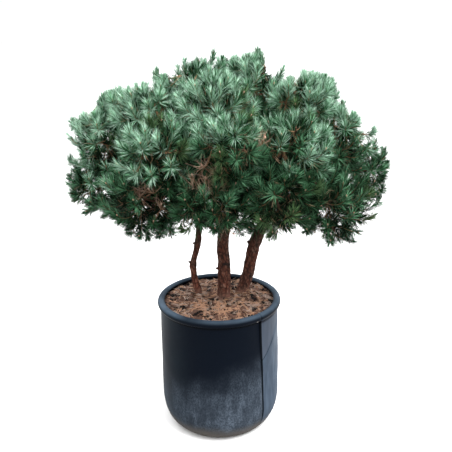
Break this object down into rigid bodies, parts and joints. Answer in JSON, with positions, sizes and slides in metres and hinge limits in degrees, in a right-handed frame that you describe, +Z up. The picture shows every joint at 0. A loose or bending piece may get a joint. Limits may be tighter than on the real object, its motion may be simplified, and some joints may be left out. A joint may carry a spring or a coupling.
{
  "type": "potted watereri scots pine",
  "caption": "Potted dwarf Scots pine: three bare stems rise from bark mulch in a round dark nursery pot to a broad domed crown of short blue-green needles.",
  "frame": {"origin": "middle of the pot's flat underside", "axes": "+Z up, the plant's height; the side that shows the three stems side by side faces -Y, with the wider right-hand side of the crown towards +X"},
  "size_m": [1.3604, 1.218, 1.6396],
  "materials": {
    "pot_plastic": "dusty, scuffed dark nursery plastic",
    "soil": "bark mulch with fallen needles",
    "bark": "rough, scaly, reddish-brown bark",
    "needles": "satin blue-green pine needles"
  },
  "bodies": {
    "root": {"pot": "pot_plastic", "soil": "soil", "stem_left": "bark", "stem_middle": "bark", "stem_right": "bark", "bough_left_low": "bark", "bough_left_upper": "bark", "bough_left_front_low": "bark", "bough_left_front_mid": "bark", "bough_left_peak": "bark", "bough_upper_left": "bark", "bough_front_upper": "bark", "bough_front_mid": "bark", "bough_front_low": "bark", "bough_right_front_low": "bark", "bough_right_front_mid": "bark", "bough_right_low": "bark", "bough_far_right": "bark", "bough_right_upper": "bark", "bough_right_top_back": "bark", "bough_back_left_low": "bark", "bough_back_left": "bark", "bough_back_low": "bark", "bough_back_mid": "bark", "bough_back_right_low": "bark", "bough_back_right": "bark", "bough_back_far_right": "bark", "bough_back_top": "bark", "foliage_left_low": "needles", "foliage_left_upper": "needles", "foliage_left_front_low": "needles", "foliage_left_front_mid": "needles", "foliage_left_peak": "needles", "foliage_upper_left": "needles", "foliage_top_left": "needles", "foliage_peak": "needles", "foliage_front_upper": "needles", "foliage_front_mid": "needles", "foliage_front_low": "needles", "foliage_right_front_low": "needles", "foliage_right_front_mid": "needles", "foliage_right_low": "needles", "foliage_far_right": "needles", "foliage_right_upper": "needles", "foliage_right_top": "needles", "foliage_right_top_back": "needles", "foliage_back_left_low": "needles", "foliage_back_left": "needles", "foliage_back_low": "needles", "foliage_back_mid": "needles", "foliage_back_right_low": "needles", "foliage_back_right": "needles", "foliage_back_far_right": "needles", "foliage_back_top": "needles"}
  },
  "joints": []
}
